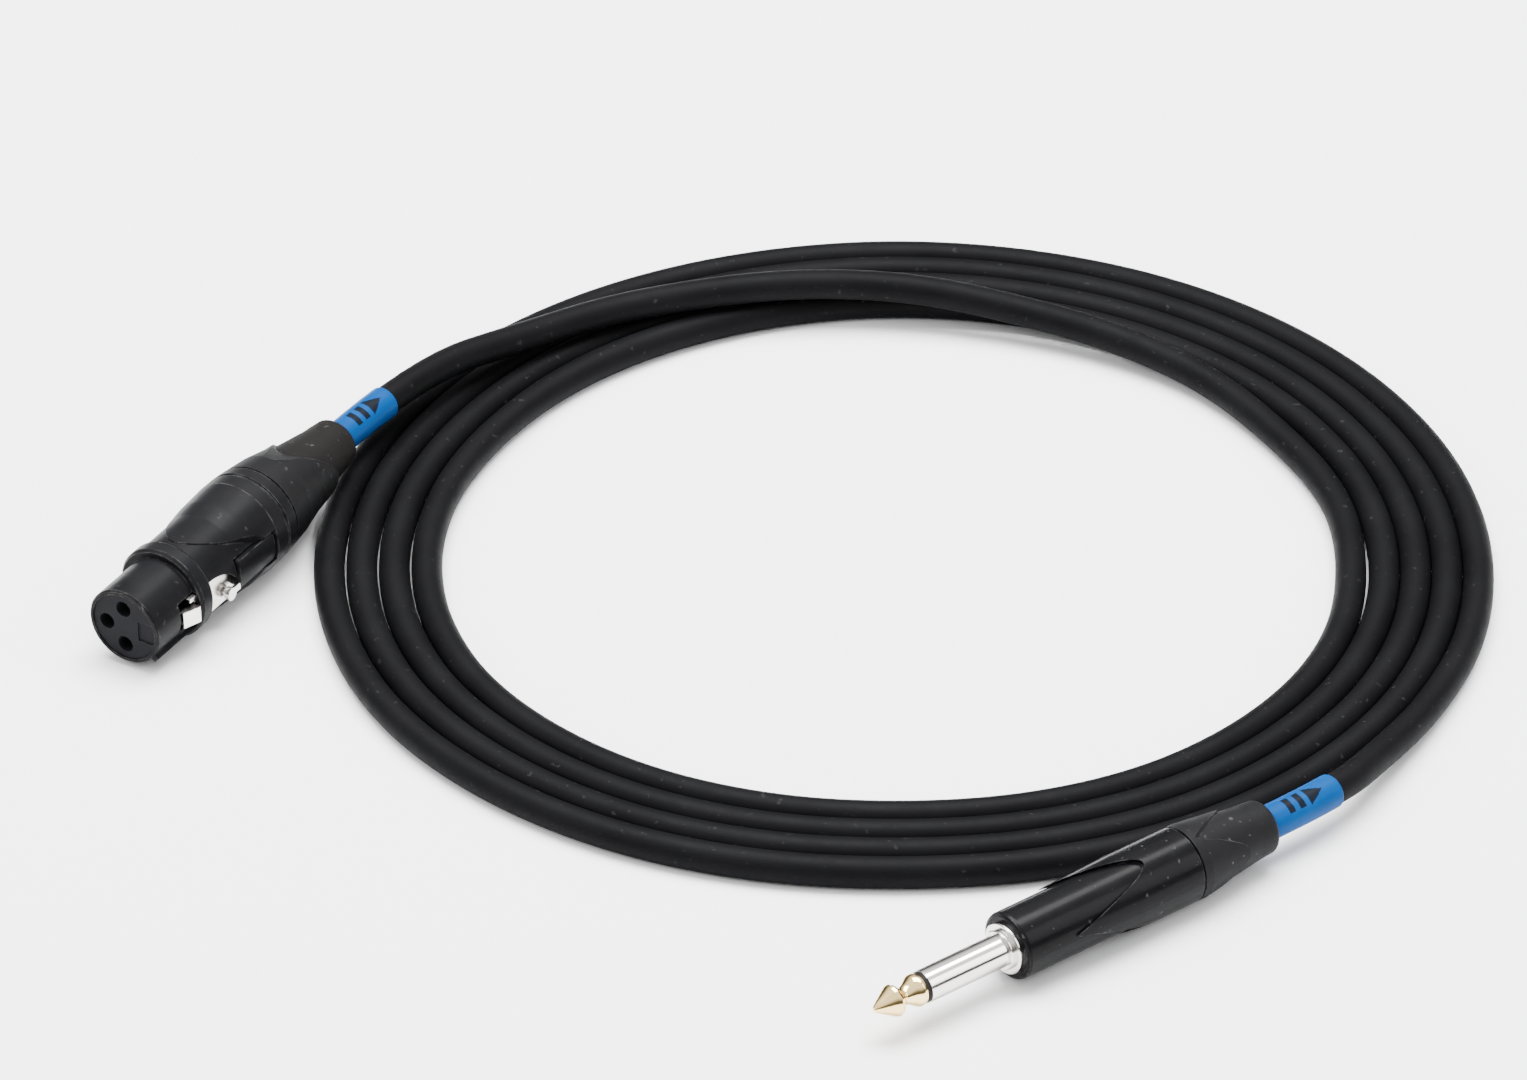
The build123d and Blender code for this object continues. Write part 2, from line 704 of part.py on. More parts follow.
with BuildPart() as jack_tongues:
    for angle in TONGUE_ANGLES:
        with BuildSketch(jack_facing(angle)):
            with BuildLine():
                Spline((PETAL_START - 1.2, -5.9), (51.6, -4.2), (TONGUE_END, 0), (51.6, 4.2), (PETAL_START - 1.2, 5.9))
                Line((PETAL_START - 1.2, 5.9), (PETAL_START - 1.2, -5.9))
            make_face()
        extrude(amount=12)
    with BuildSketch(jack_cross(30)):
        Circle(SHELL_FRONT_R)
    extrude(amount=50, mode=Mode.SUBTRACT)

with BuildPart() as jack_housing:
    add(jack_shell.part)
    add(jack_tongues.part, mode=Mode.SUBTRACT)

with BuildPart() as jack_rear_insulator:
    with BuildSketch(jack_cross(34.2)):
        Circle(SHELL_BORE_R - FIT)
        Circle(ROD_R, mode=Mode.SUBTRACT)
        with Locations((0, 5.3)):
            Rectangle(2.8, 1.0, mode=Mode.SUBTRACT)
    extrude(amount=2.6)

with BuildPart() as jack_tip_terminal:
    with BuildSketch(jack_cross(36.8)):
        Circle(2.4)
        Circle(ROD_R, mode=Mode.SUBTRACT)
    extrude(amount=0.7)
    with BuildSketch(jack_cross(37.5)):
        with Locations((0, -2.0)):
            Rectangle(2.4, 0.6)
    extrude(amount=8)

with BuildPart() as jack_sleeve_clamp:
    with BuildSketch(jack_cross(33.5)):
        Circle(SHELL_BORE_R - FIT)
        Circle(2.1, mode=Mode.SUBTRACT)
    extrude(amount=0.7)
    with BuildSketch(jack_cross(32.9)):
        with Locations((0, 5.1)):
            Rectangle(2.6, 0.5)
    extrude(amount=25.0)

with BuildPart() as jack_chuck:
    with BuildSketch(JACK_SECTION):
        with BuildLine():
            Polyline(
                (CABLE_R + FIT, 63.0),
                (4.5, 63.0),
                (4.6, 64.5),
                (4.1, 75.0),
                (CABLE_R + FIT, 75.0),
                close=True,
            )
        make_face()
    revolve(axis=JACK_AXIS)
    with BuildSketch(jack_cross(66.5)):
        with PolarLocations(0, 4):
            with Locations((4.3, 0)):
                Rectangle(4, 0.7)
    extrude(amount=9, mode=Mode.SUBTRACT)

with BuildPart() as jack_bushing:
    with BuildSketch(JACK_SECTION):
        with BuildLine():
            Polyline(
                (5.05, 65.0),
                (SHELL_BORE_R - FIT, 65.0),
                (SHELL_BORE_R - FIT, JACK_BOOT_START),
                (6.2, JACK_BOOT_START),
                (6.2, 77.0),
                (5.05, 77.0),
                close=True,
            )
        make_face()
    revolve(axis=JACK_AXIS)

with BuildPart() as boot_body:
    with BuildSketch(JACK_SECTION):
        with BuildLine():
            Polyline(
                (6.2, JACK_BOOT_START),
                (6.95, JACK_BOOT_START),
                (6.75, 76.0),
                (6.2, 82.0),
                (5.5, 88.0),
                (5.2, JACK_LENGTH),
                (JACK_BOOT_BORE, JACK_LENGTH),
                (JACK_BOOT_BORE, 80.0),
                (5.05, 78.2),
                (5.05, 77.0),
                (6.2, 77.0),
                close=True,
            )
        make_face()
    revolve(axis=JACK_AXIS)
    jack_rim = edges().filter_by(GeomType.CIRCLE).sort_by(JACK_AXIS)[-2:].sort_by(SortBy.RADIUS)[-1]
    fillet(jack_rim, radius=1.3)

with BuildPart() as boot_leaves:
    with BuildSketch(JACK_SECTION):
        with BuildLine():
            Polyline(
                (6.3, JACK_BOOT_START),
                (SHELL_REAR_R, JACK_BOOT_START),
                (SHELL_REAR_R, 74.5),
                (6.7, 80.5),
                (6.3, LEAF_APEX),
                (5.6, LEAF_APEX),
                (5.9, 82.0),
                close=True,
            )
        make_face()
    revolve(axis=JACK_AXIS)

with BuildPart() as leaf_outlines:
    for angle in PETAL_ANGLES:
        with BuildSketch(jack_facing(angle)):
            with BuildLine():
                Spline((71.5, -7.0), (76.5, -5.3), (LEAF_APEX, 0), (76.5, 5.3), (71.5, 7.0))
                Line((71.5, 7.0), (71.5, -7.0))
            make_face()
        extrude(amount=12)

with BuildPart() as leaf_pads:
    add(boot_leaves.part)
    add(leaf_outlines.part, mode=Mode.INTERSECT)

with BuildPart() as jack_boot:
    add(boot_body.part)
    add(leaf_pads.part)

with BuildPart() as jack_cable_end:
    with BuildSketch(jack_cross(61)):
        Circle(CABLE_R)
    extrude(amount=TAIL_END - 61)

jack_core = wire_run(jack_cross, [(0, -1.0, 61), (0, -1.0, 56), (0, -3.0, 50), (0, -3.0, 40)], CORE_R)
jack_core_shield = wire_run(jack_cross, [(0, 1.0, 61), (0, 1.0, 58), (0, 4.1, 52), (0, 4.1, 44)], CORE_R)

with BuildPart() as jack_label_sleeve:
    with BuildSketch(jack_cross(JACK_LENGTH + 0.15)):
        Circle(SLEEVE_R)
        Circle(CABLE_R + SLEEVE_GAP, mode=Mode.SUBTRACT)
    extrude(amount=17.3)

# ---------------------------------------------------------------- named parts
named = {
    "xlr_housing": xlr_housing,
    "xlr_insert": xlr_insert,
    "xlr_contact_ground": xlr_contact_ground,
    "xlr_contact_hot": xlr_contact_hot,
    "xlr_contact_cold": xlr_contact_cold,
    "xlr_shell_tab": xlr_shell_tab,
    "xlr_latch": xlr_latch,
    "xlr_push_button": xlr_push_button,
    "xlr_latch_pin": xlr_latch_pin,
    "xlr_latch_spring": xlr_latch_spring,
    "xlr_coding_ring": xlr_coding_ring,
    "xlr_rear_cover": xlr_rear_cover,
    "xlr_bushing": xlr_bushing,
    "xlr_boot": xlr_boot,
    "xlr_chuck": xlr_chuck,
    "xlr_cable_end": xlr_cable_end,
    "xlr_core_hot": xlr_core_hot,
    "xlr_core_shield": xlr_core_shield,
    "xlr_label_sleeve": xlr_label_sleeve,
    "jack_tip": jack_tip,
    "jack_tip_insulator": jack_tip_insulator,
    "jack_sleeve": jack_sleeve,
    "jack_collar": jack_collar,
    "jack_housing": jack_housing,
    "jack_rear_insulator": jack_rear_insulator,
    "jack_tip_terminal": jack_tip_terminal,
    "jack_sleeve_clamp": jack_sleeve_clamp,
    "jack_chuck": jack_chuck,
    "jack_bushing": jack_bushing,
    "jack_boot": jack_boot,
    "jack_cable_end": jack_cable_end,
    "jack_core_tip": jack_core,
    "jack_core_shield": jack_core_shield,
    "jack_label_sleeve": jack_label_sleeve,
    "cable_coil": cable_coil,
    "cable_xlr_lead": cable_xlr_lead,
    "cable_jack_lead": cable_jack_lead,
}

os.makedirs("parts", exist_ok=True)
for label, piece in named.items():
    piece.part.label = label
    export_step(piece.part, f"parts/{label}.step")
    box = piece.part.bounding_box()
    low = [round(v, 1) for v in box.min]
    high = [round(v, 1) for v in box.max]
    print(label, round(piece.part.volume, 1), len(piece.part.solids()), low, high)
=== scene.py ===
import math

import bpy
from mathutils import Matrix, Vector


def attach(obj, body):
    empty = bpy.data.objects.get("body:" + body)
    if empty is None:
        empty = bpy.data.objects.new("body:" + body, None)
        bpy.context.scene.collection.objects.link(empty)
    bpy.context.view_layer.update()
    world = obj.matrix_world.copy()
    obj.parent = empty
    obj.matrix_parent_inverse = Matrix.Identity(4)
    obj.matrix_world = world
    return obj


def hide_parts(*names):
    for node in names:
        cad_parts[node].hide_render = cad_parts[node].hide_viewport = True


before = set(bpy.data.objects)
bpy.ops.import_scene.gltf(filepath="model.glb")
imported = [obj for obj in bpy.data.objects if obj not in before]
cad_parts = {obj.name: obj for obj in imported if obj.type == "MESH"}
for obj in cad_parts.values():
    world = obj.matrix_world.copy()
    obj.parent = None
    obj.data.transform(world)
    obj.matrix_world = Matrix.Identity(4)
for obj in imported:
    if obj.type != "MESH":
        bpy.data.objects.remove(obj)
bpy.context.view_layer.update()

MM = 0.001

# ---------------------------------------------------------------- camera
camera_data = bpy.data.cameras.new("camera")
camera_data.lens = 238.14
camera_data.sensor_width = 36.0
camera_data.clip_start = 0.05
camera_data.clip_end = 20.0
camera = bpy.data.objects.new("camera", camera_data)
camera.location = (0.01613, -1.56209, 1.06205)
camera.rotation_euler = (math.radians(57.0), 0.0, 0.0)
bpy.context.scene.collection.objects.link(camera)
bpy.context.scene.camera = camera

# ---------------------------------------------------------------- cable
# Same coil and connectors as the CAD model, in mm
COIL_X = 41.5
COIL_Y = 63.05
CABLE_R = 3.0
FIRST_TURN = (87.6, 88.6, 89.0, 88.0, 89.7, 90.8, 89.9, 89.4, 91.0, 92.7, 93.0, 93.3)
FOURTH_TURN = (105.6, 106.6, 107.0, 106.0, 108.2, 109.6, 108.6, 108.2, 109.4, 110.7, 111.2, 111.3)
STATIONS = len(FIRST_TURN)
PER_TURN = 24
LAST_STEP = 4 * PER_TURN + 1
ARC_SHARE = (3 + math.cos(2 * math.pi / PER_TURN)) / 4

XLR_TIP = Vector((-104.7, 29.05, 9.1))
XLR_YAW = math.radians(58.07)
XLR_TILT = math.radians(2.3)
XLR_LENGTH = 72.15
XLR_DIR = Vector((
    math.cos(XLR_TILT) * math.cos(XLR_YAW),
    math.cos(XLR_TILT) * math.sin(XLR_YAW),
    math.sin(XLR_TILT),
))
JACK_TIP = Vector((35.7, -92.55, 7.4))
JACK_YAW = math.radians(38.85)
JACK_LENGTH = 92.8
JACK_DIR = Vector((math.cos(JACK_YAW), math.sin(JACK_YAW), 0.0))
LEAD_START = 70.0
TAIL_END = 90.0


def coil_frame(x, y, z):
    """Point given from the coil's centre."""
    return Vector((COIL_X + x, COIL_Y + y, z))


def strand_radius(turns):
    """Centre radius of the cable after a number of clockwise turns from +X."""
    place = turns * STATIONS
    low = math.floor(place + 1e-9)
    part = max(0.0, place - low)

    def station(count):
        lap, step = divmod(count, STATIONS)
        return FIRST_TURN[step] + (FOURTH_TURN[step] - FIRST_TURN[step]) * lap / 3

    return station(low) * (1 - part) + station(low + 1) * part


route = [
    XLR_TIP + XLR_DIR * LEAD_START,
    XLR_TIP + XLR_DIR * 100.0,
    coil_frame(-71.9, 69.4, 9.8),
    coil_frame(-52, 82.1, 9.2),
    coil_frame(-22, 90.2, 9.2),
    coil_frame(4, 89.4, 8.9),
    coil_frame(27, 83.6, 6.6),
    coil_frame(46, 75.0, 5.3),
    coil_frame(62.5, 62.4, 4.0),
    coil_frame(75.4, 43.5, 3.1),
    coil_frame(84.8, 23.8, CABLE_R),
    coil_frame(87.9, 3.5, CABLE_R),
]
for step in range(1, LAST_STEP + 1):
    turns = step / PER_TURN
    angle = -2 * math.pi * turns
    radius = strand_radius(turns) / ARC_SHARE
    route.append(coil_frame(radius * math.cos(angle), radius * math.sin(angle), CABLE_R))
route += [
    coil_frame(99, -54, 3.2),
    coil_frame(89, -71.5, 5.2),
    JACK_TIP + JACK_DIR * 111.0,
    JACK_TIP + JACK_DIR * TAIL_END,
]


def nurbs(name, points, section_r):
    """Curve of one open quadratic NURBS spline, with a round section of that radius in mm."""
    curve = bpy.data.curves.new(name, "CURVE")
    curve.dimensions = "3D"
    curve.resolution_u = 8
    # the points' radius scales this, so that the curve's box is no wider than the cable
    curve.bevel_depth = 1.0 if section_r else 0.0
    curve.bevel_resolution = 8
    curve.use_fill_caps = section_r > 0
    spline = curve.splines.new("NURBS")
    spline.points.add(len(points) - 1)
    for place, point in zip(spline.points, points):
        place.co = (*(point * MM), 1.0)
        place.radius = section_r * MM
    spline.order_u = 3
    spline.use_endpoint_u = True
    thing = bpy.data.objects.new(name, curve)
    bpy.context.scene.collection.objects.link(thing)
    return thing


cable = nurbs("cable", route, CABLE_R)
bare = nurbs("route_line", route, 0.0)
bpy.context.view_layer.update()
line_mesh = bpy.data.meshes.new_from_object(bare)
line = [v.co / MM for v in line_mesh.vertices]
bpy.data.objects.remove(bare)
reach = [0.0]
for before, after in zip(line, line[1:]):
    reach.append(reach[-1] + (after - before).length)
CABLE_RUN = reach[-1]


def on_cable(along):
    """Point and direction at a distance in mm along the cable."""
    k = 1
    while k < len(reach) - 1 and reach[k] < along:
        k += 1
    part = (along - reach[k - 1]) / (reach[k] - reach[k - 1])
    low = max(k - 2, 0)
    high = min(k + 1, len(line) - 1)
    return line[k - 1].lerp(line[k], part), (line[high] - line[low]).normalized()


# ---------------------------------------------------------------- sleeves
SLEEVE_R = 3.35
SLEEVE_BORE = 3.03
AROUND = 72


def sleeve(name, start, length, centre, away):
    """Shrunk tube on the cable. UV is millimetres over 100: across the mark, then along it."""
    edge = ((0.0, SLEEVE_BORE), (0.0, 3.22), (0.08, 3.32), (0.25, SLEEVE_R))
    count = 40
    rows = list(edge)
    rows += [(length * k / count, SLEEVE_R) for k in range(1, count)]
    rows += [(length - at, r) for at, r in reversed(edge)]
    verts = []
    for at, r in rows:
        point, way = on_cable(start + at)
        side = way.cross(Vector((0, 0, 1))).normalized()
        top = side.cross(way).normalized()
        for k in range(AROUND):
            turn = 2 * math.pi * k / AROUND
            verts.append((point + (top * math.cos(turn) + side * math.sin(turn)) * r) * MM)
    faces = []
    uvs = []
    for row in range(len(rows)):
        after = (row + 1) % len(rows)
        inner = after == 0
        for k in range(AROUND):
            nxt = (k + 1) % AROUND
            faces.append((row * AROUND + k, row * AROUND + nxt, after * AROUND + nxt, after * AROUND + k))
            for where, spot in ((row, k), (row, k + 1), (after, k + 1), (after, k)):
                turn = 360.0 * spot / AROUND - centre
                across = math.radians((turn + 180) % 360 - 180) * SLEEVE_R
                along = rows[where][0]
                if away:
                    along = length - along
                    across = -across
                uvs.append((9.0, 9.0) if inner else (across / 100, along / 100))
    mesh = bpy.data.meshes.new(name)
    mesh.from_pydata(verts, [], faces)
    layer = mesh.uv_layers.new(name="mark")
    for loop, uv in zip(layer.data, uvs):
        loop.uv = uv
    for face in mesh.polygons:
        face.use_smooth = True
    mesh.validate()
    mesh.update()
    thing = bpy.data.objects.new(name, mesh)
    bpy.context.scene.collection.objects.link(thing)
    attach(thing, "cable")
    return thing


XLR_SLEEVE_RUN = 15.8
JACK_SLEEVE_RUN = 17.3
xlr_sleeve = sleeve("sleeve_xlr_end", XLR_LENGTH + 0.15 - LEAD_START, XLR_SLEEVE_RUN, 22.0, False)
jack_start = CABLE_RUN - (JACK_LENGTH + 0.15 - TAIL_END) - JACK_SLEEVE_RUN
jack_sleeve_mark = sleeve("sleeve_jack_end", jack_start, JACK_SLEEVE_RUN, -22.0, True)

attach(cable, "cable")
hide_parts("cable_coil", "cable_xlr_lead", "cable_jack_lead")
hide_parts("xlr_label_sleeve")
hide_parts("jack_label_sleeve")


# ---------------------------------------------------------------- materials
def math_node(tree, kind, a, b=None):
    """Output of a Math node on sockets or numbers."""
    node = tree.nodes.new("ShaderNodeMath")
    node.operation = kind
    for place, value in enumerate((a, b)):
        if value is None:
            continue
        if isinstance(value, (int, float)):
            node.inputs[place].default_value = value
        else:
            tree.links.new(value, node.inputs[place])
    return node.outputs[0]


def noise(tree, coord, scale, detail=4.0, rough=0.55, stretch=(1, 1, 1), turn=(0, 0, 0)):
    """Noise of a scale per metre, stretched along a turned axis."""
    mapping = tree.nodes.new("ShaderNodeMapping")
    mapping.inputs["Rotation"].default_value = turn
    tree.links.new(coord, mapping.inputs["Vector"])
    squeeze = tree.nodes.new("ShaderNodeMapping")
    squeeze.inputs["Scale"].default_value = stretch
    tree.links.new(mapping.outputs[0], squeeze.inputs["Vector"])
    node = tree.nodes.new("ShaderNodeTexNoise")
    node.inputs["Scale"].default_value = scale
    node.inputs["Detail"].default_value = detail
    node.inputs["Roughness"].default_value = rough
    tree.links.new(squeeze.outputs[0], node.inputs["Vector"])
    return node.outputs[0]


def spread(tree, value, low, high, out_low, out_high):
    """Value of one range mapped to another."""
    node = tree.nodes.new("ShaderNodeMapRange")
    tree.links.new(value, node.inputs["Value"])
    for place, number in ((1, low), (2, high), (3, out_low), (4, out_high)):
        node.inputs[place].default_value = number
    return node.outputs[0]


def blend_colours(tree, share, first, second):
    """Colour between two, each a socket or an RGB."""
    node = tree.nodes.new("ShaderNodeMix")
    node.data_type = "RGBA"
    tree.links.new(share, node.inputs[0])
    for place, colour in ((6, first), (7, second)):
        if isinstance(colour, tuple):
            node.inputs[place].default_value = (*colour, 1.0)
        else:
            tree.links.new(colour, node.inputs[place])
    return node.outputs[2]


def surface(name, dark, light, rough, metal=0.0, patch=70, grain=1800, depth=0.012, stretch=(1, 1, 1),
            turn=(0, 0, 0), coat=0.0, coat_rough=0.1, specular=0.045, round_edge=0.15,
            wear=None, specks=0.0):
    """Procedural surface: patchy colour, uneven gloss, fine grain in mm, softened and worn edges."""
    material = bpy.data.materials.new(name)
    material.use_nodes = True
    tree = material.node_tree
    shader = tree.nodes["Principled BSDF"]
    coord = tree.nodes.new("ShaderNodeTexCoord").outputs["Object"]
    patches = noise(tree, coord, patch, 3.0)
    fine = noise(tree, coord, grain, 5.0, 0.6, stretch, turn)
    colour = blend_colours(tree, spread(tree, patches, 0.3, 0.7, 0.0, 1.0), dark, light)
    smears = noise(tree, coord, patch * 4, 4.0, 0.6, stretch, turn)
    gloss = spread(tree, smears, 0.25, 0.75, rough[0], rough[1])
    if specks:
        dust = spread(tree, noise(tree, coord, 650, 2.0, 0.5), 0.68, 0.75, 0.0, specks)
        colour = blend_colours(tree, dust, colour, (0.12, 0.12, 0.125))
    if wear:
        bevel = tree.nodes.new("ShaderNodeBevel")
        bevel.samples = 4
        bevel.inputs["Radius"].default_value = 0.35 * MM
        plain = tree.nodes.new("ShaderNodeNewGeometry")
        dot = tree.nodes.new("ShaderNodeVectorMath")
        dot.operation = "DOT_PRODUCT"
        tree.links.new(bevel.outputs[0], dot.inputs[0])
        tree.links.new(plain.outputs["Normal"], dot.inputs[1])
        corner = spread(tree, dot.outputs["Value"], 0.995, 0.93, 0.0, 1.0)
        broken = spread(tree, noise(tree, coord, 420, 4.0, 0.7), 0.45, 0.62, 0.0, wear[1])
        share = math_node(tree, "MULTIPLY", corner, broken)
        colour = blend_colours(tree, share, colour, wear[0])
    tree.links.new(colour, shader.inputs["Base Color"])
    tree.links.new(gloss, shader.inputs["Roughness"])
    shader.inputs["Metallic"].default_value = metal
    shader.inputs["Specular IOR Level"].default_value = specular
    shader.inputs["Coat Weight"].default_value = coat
    shader.inputs["Coat Roughness"].default_value = coat_rough
    bump = tree.nodes.new("ShaderNodeBump")
    bump.inputs["Strength"].default_value = 0.6
    bump.inputs["Distance"].default_value = depth * MM
    tree.links.new(fine, bump.inputs["Height"])
    if round_edge:
        soft = tree.nodes.new("ShaderNodeBevel")
        soft.samples = 4
        soft.inputs["Radius"].default_value = round_edge * MM
        tree.links.new(soft.outputs[0], bump.inputs["Normal"])
    tree.links.new(bump.outputs[0], shader.inputs["Normal"])
    return material


XLR_TURN = (0, 0, -XLR_YAW)
JACK_TURN = (0, 0, -JACK_YAW)
GREY_EDGE = (0.10, 0.10, 0.105)

pvc = surface("pvc_jacket", (0.0022, 0.0022, 0.0026), (0.0036, 0.0036, 0.0042), (0.50, 0.62), grain=2600,
              depth=0.02, specular=0.04, round_edge=0.0, specks=0.08)
shell_paint = surface("satin_black_shell", (0.0042, 0.0042, 0.005), (0.0065, 0.0065, 0.0075), (0.30, 0.42),
                      grain=3200, depth=0.008, wear=((0.16, 0.155, 0.15), 0.35), specks=0.15)
ring_plastic = surface("black_ring_plastic", (0.0045, 0.0045, 0.005), (0.007, 0.007, 0.0078), (0.36, 0.5),
                       grain=2600, depth=0.012, wear=(GREY_EDGE, 0.5))
cover_plastic = surface("rear_cover_plastic", (0.0055, 0.0055, 0.006), (0.0085, 0.0085, 0.009), (0.42, 0.56),
                        grain=2400, depth=0.016, wear=(GREY_EDGE, 0.35), specks=0.2)
boot_rubber = surface("xlr_boot_rubber", (0.0058, 0.0053, 0.0052), (0.0085, 0.0080, 0.0078), (0.56, 0.70),
                      grain=2000, depth=0.03, specular=0.05, wear=(GREY_EDGE, 0.2), specks=0.4)
insert_plastic = surface("insert_plastic", (0.006, 0.006, 0.0075), (0.009, 0.009, 0.011), (0.5, 0.62),
                         grain=2800, depth=0.012, wear=((0.05, 0.05, 0.055), 0.5))
button_plastic = surface("button_plastic", (0.0042, 0.0042, 0.0048), (0.0065, 0.0065, 0.0072), (0.32, 0.46),
                         grain=2600, depth=0.012, wear=(GREY_EDGE, 0.6))
jack_gloss = surface("jack_gloss_shell", (0.0030, 0.0030, 0.0034), (0.0045, 0.0045, 0.0052), (0.18, 0.28),
                     grain=1500, depth=0.006, coat=0.02, coat_rough=0.1, wear=(GREY_EDGE, 0.3), specks=0.25)
jack_rubber = surface("jack_boot_rubber", (0.0060, 0.0060, 0.0066), (0.009, 0.009, 0.0096), (0.46, 0.6),
                      grain=2200, depth=0.025, specular=0.05, wear=(GREY_EDGE, 0.25), specks=0.3)
insulator_black = surface("insulator_black", (0.010, 0.009, 0.009), (0.015, 0.013, 0.012), (0.3, 0.4),
                          grain=2400, depth=0.01)
collet_plastic = surface("collet_plastic", (0.014, 0.014, 0.015), (0.02, 0.02, 0.021), (0.5, 0.6),
                         grain=2400, depth=0.02)
nickel_sleeve = surface("polished_nickel", (0.68, 0.655, 0.62), (0.78, 0.76, 0.73), (0.08, 0.16), metal=1.0,
                        grain=900, depth=0.004, stretch=(0.05, 1, 1), turn=JACK_TURN, round_edge=0.08,
                        wear=((0.45, 0.42, 0.37), 0.4))
nickel_latch = surface("latch_nickel", (0.70, 0.67, 0.63), (0.82, 0.80, 0.77), (0.14, 0.26), metal=1.0,
                       grain=1300, depth=0.006, stretch=(0.08, 1, 1), turn=XLR_TURN, round_edge=0.1,
                       wear=((0.45, 0.41, 0.35), 0.5))
spring_steel = surface("spring_steel", (0.42, 0.40, 0.37), (0.60, 0.58, 0.55), (0.22, 0.34), metal=1.0,
                       grain=2400, depth=0.006, round_edge=0.0)
gold_plate = surface("polished_gold", (0.93, 0.64, 0.24), (0.98, 0.74, 0.36), (0.06, 0.14), metal=1.0,
                     grain=900, depth=0.004, stretch=(1, 0.1, 1), turn=JACK_TURN, round_edge=0.08,
                     wear=((0.52, 0.40, 0.22), 0.4))
contact_gold = surface("contact_plating", (0.60, 0.50, 0.30), (0.74, 0.66, 0.46), (0.2, 0.32), metal=1.0,
                       grain=1800, depth=0.006)
core_plastic = surface("core_insulation", (0.60, 0.58, 0.54), (0.72, 0.70, 0.66), (0.4, 0.5), grain=2000,
                       depth=0.01, round_edge=0.0)


# Printed mark, in mm from its first bar: two bars and an arrow head
MARK_START_SHARE = 0.24
MARK_HALF_WIDTH = 1.75
BAR_PITCH = 2.6
BAR_HALF = 0.7
HEAD_START = 5.2
HEAD_LENGTH = 3.9
HEAD_SLOPE = 0.52


def printed_sleeve(name, run):
    """Blue shrunk tube with two black bars and an arrow head printed on it."""
    material = surface(name, (0.0, 0.032, 0.135), (0.0, 0.048, 0.180), (0.30, 0.42), grain=1600,
                       depth=0.015, coat=0.0, coat_rough=0.18, round_edge=0.0)
    tree = material.node_tree
    shader = tree.nodes["Principled BSDF"]
    source = tree.nodes.new("ShaderNodeUVMap")
    source.uv_map = "mark"
    parts = tree.nodes.new("ShaderNodeSeparateXYZ")
    tree.links.new(source.outputs[0], parts.inputs[0])
    wobble = noise(tree, tree.nodes.new("ShaderNodeTexCoord").outputs["Object"], 2200, 3.0)
    ragged = spread(tree, wobble, 0.2, 0.8, -0.07, 0.07)
    across = math_node(tree, "ABSOLUTE", math_node(tree, "MULTIPLY", parts.outputs[0], 100.0))
    across = math_node(tree, "ADD", across, ragged)
    along = math_node(tree, "ADD", math_node(tree, "MULTIPLY", parts.outputs[1], 100.0), ragged)
    first = run * MARK_START_SHARE
    ink = None
    for start in (first, first + BAR_PITCH):
        inside = math_node(tree, "COMPARE", along, start + BAR_HALF)
        inside.node.inputs[2].default_value = BAR_HALF
        bar = math_node(tree, "MULTIPLY", inside, math_node(tree, "LESS_THAN", across, MARK_HALF_WIDTH))
        ink = bar if ink is None else math_node(tree, "MAXIMUM", ink, bar)
    tail = first + HEAD_START
    slope = math_node(tree, "MULTIPLY", math_node(tree, "SUBTRACT", tail + HEAD_LENGTH, along), HEAD_SLOPE)
    head = math_node(tree, "MULTIPLY", math_node(tree, "LESS_THAN", across, slope),
                     math_node(tree, "GREATER_THAN", along, tail))
    ink = math_node(tree, "MAXIMUM", ink, head)
    blue = shader.inputs["Base Color"].links[0].from_socket
    tree.links.new(blend_colours(tree, ink, blue, (0.004, 0.006, 0.010)), shader.inputs["Base Color"])
    return material


FINISHES = {
    "xlr_housing": shell_paint,
    "xlr_insert": insert_plastic,
    "xlr_contact_ground": contact_gold,
    "xlr_contact_hot": contact_gold,
    "xlr_contact_cold": contact_gold,
    "xlr_shell_tab": nickel_latch,
    "xlr_latch": nickel_latch,
    "xlr_push_button": button_plastic,
    "xlr_latch_pin": spring_steel,
    "xlr_latch_spring": spring_steel,
    "xlr_coding_ring": ring_plastic,
    "xlr_rear_cover": cover_plastic,
    "xlr_bushing": collet_plastic,
    "xlr_boot": boot_rubber,
    "xlr_chuck": collet_plastic,
    "xlr_cable_end": pvc,
    "xlr_core_hot": core_plastic,
    "xlr_core_shield": core_plastic,
    "xlr_label_sleeve": pvc,
    "jack_tip": gold_plate,
    "jack_tip_insulator": insulator_black,
    "jack_sleeve": nickel_sleeve,
    "jack_collar": nickel_sleeve,
    "jack_housing": jack_gloss,
    "jack_rear_insulator": insulator_black,
    "jack_tip_terminal": contact_gold,
    "jack_sleeve_clamp": nickel_latch,
    "jack_chuck": collet_plastic,
    "jack_bushing": collet_plastic,
    "jack_boot": jack_rubber,
    "jack_cable_end": pvc,
    "jack_core_tip": core_plastic,
    "jack_core_shield": core_plastic,
    "jack_label_sleeve": pvc,
    "cable_coil": pvc,
    "cable_xlr_lead": pvc,
    "cable_jack_lead": pvc,
}
for name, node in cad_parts.items():
    if not node.material_slots:
        node.data.materials.append(FINISHES[name])
    for place in node.material_slots:
        place.material = FINISHES[name]
cable.data.materials.append(pvc)
xlr_sleeve.data.materials.append(printed_sleeve("blue_print_xlr", XLR_SLEEVE_RUN))
jack_sleeve_mark.data.materials.append(printed_sleeve("blue_print_jack", JACK_SLEEVE_RUN))

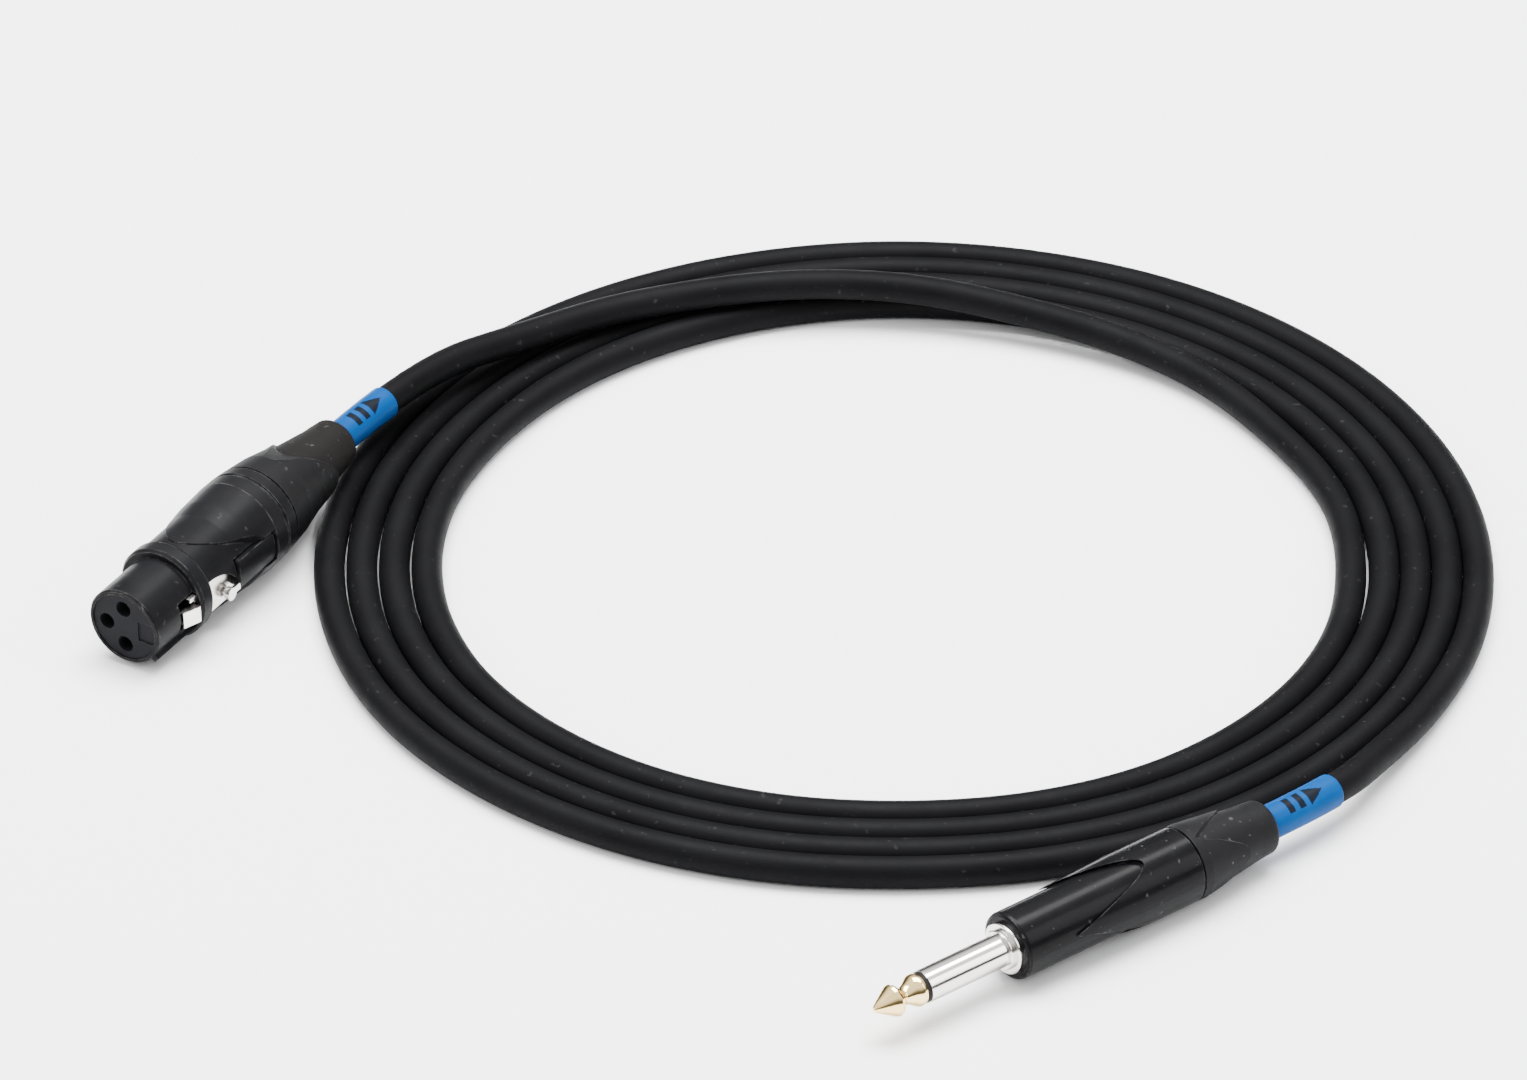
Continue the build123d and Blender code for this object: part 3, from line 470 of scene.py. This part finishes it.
# ---------------------------------------------------------------- floor and light
floor_mesh = bpy.data.meshes.new("floor")
half = 6.0
corners = [(-half, -half, 0), (half, -half, 0), (half, half, 0), (-half, half, 0)]
floor_mesh.from_pydata(corners, [], [(0, 1, 2, 3)])
floor = bpy.data.objects.new("floor", floor_mesh)
bpy.context.scene.collection.objects.link(floor)
paper = bpy.data.materials.new("pale_paper")
paper.use_nodes = True
paper.node_tree.nodes["Principled BSDF"].inputs["Base Color"].default_value = (0.93, 0.93, 0.935, 1)
paper.node_tree.nodes["Principled BSDF"].inputs["Roughness"].default_value = 0.9
paper.node_tree.nodes["Principled BSDF"].inputs["Specular IOR Level"].default_value = 0.1
floor.data.materials.append(paper)

world = bpy.data.worlds.new("studio")
world.use_nodes = True
world.node_tree.nodes["Background"].inputs["Color"].default_value = (1.0, 1.0, 1.0, 1)
# bright overhead and dim round the horizon, which gives the metal its dark bands
sky = world.node_tree
way_up = sky.nodes.new("ShaderNodeSeparateXYZ")
sky.links.new(sky.nodes.new("ShaderNodeTexCoord").outputs["Generated"], way_up.inputs[0])
overhead = sky.nodes.new("ShaderNodeMapRange")
overhead.interpolation_type = "SMOOTHSTEP"
for place, number in ((1, 0.25), (2, 0.75), (3, 0.16), (4, 1.9)):
    overhead.inputs[place].default_value = number
sky.links.new(way_up.outputs["Z"], overhead.inputs["Value"])
sky.links.new(overhead.outputs[0], sky.nodes["Background"].inputs["Strength"])
bpy.context.scene.world = world


def softbox(name, place, aim, width, height, power):
    """Rectangular lamp facing a point."""
    lamp = bpy.data.lights.new(name, "AREA")
    lamp.shape = "RECTANGLE"
    lamp.size = width
    lamp.size_y = height
    lamp.energy = power
    thing = bpy.data.objects.new(name, lamp)
    thing.location = place
    thing.rotation_euler = (Vector(aim) - Vector(place)).to_track_quat("-Z", "Y").to_euler()
    bpy.context.scene.collection.objects.link(thing)


softbox("top_softbox", (0.0, 0.35, 1.5), (0.02, 0.03, 0), 1.6, 1.0, 118)
softbox("left_softbox", (-1.4, -0.4, 0.9), (0, 0, 0), 0.5, 1.0, 14)
softbox("right_softbox", (1.3, -0.3, 0.8), (0, 0, 0), 0.4, 0.9, 7)
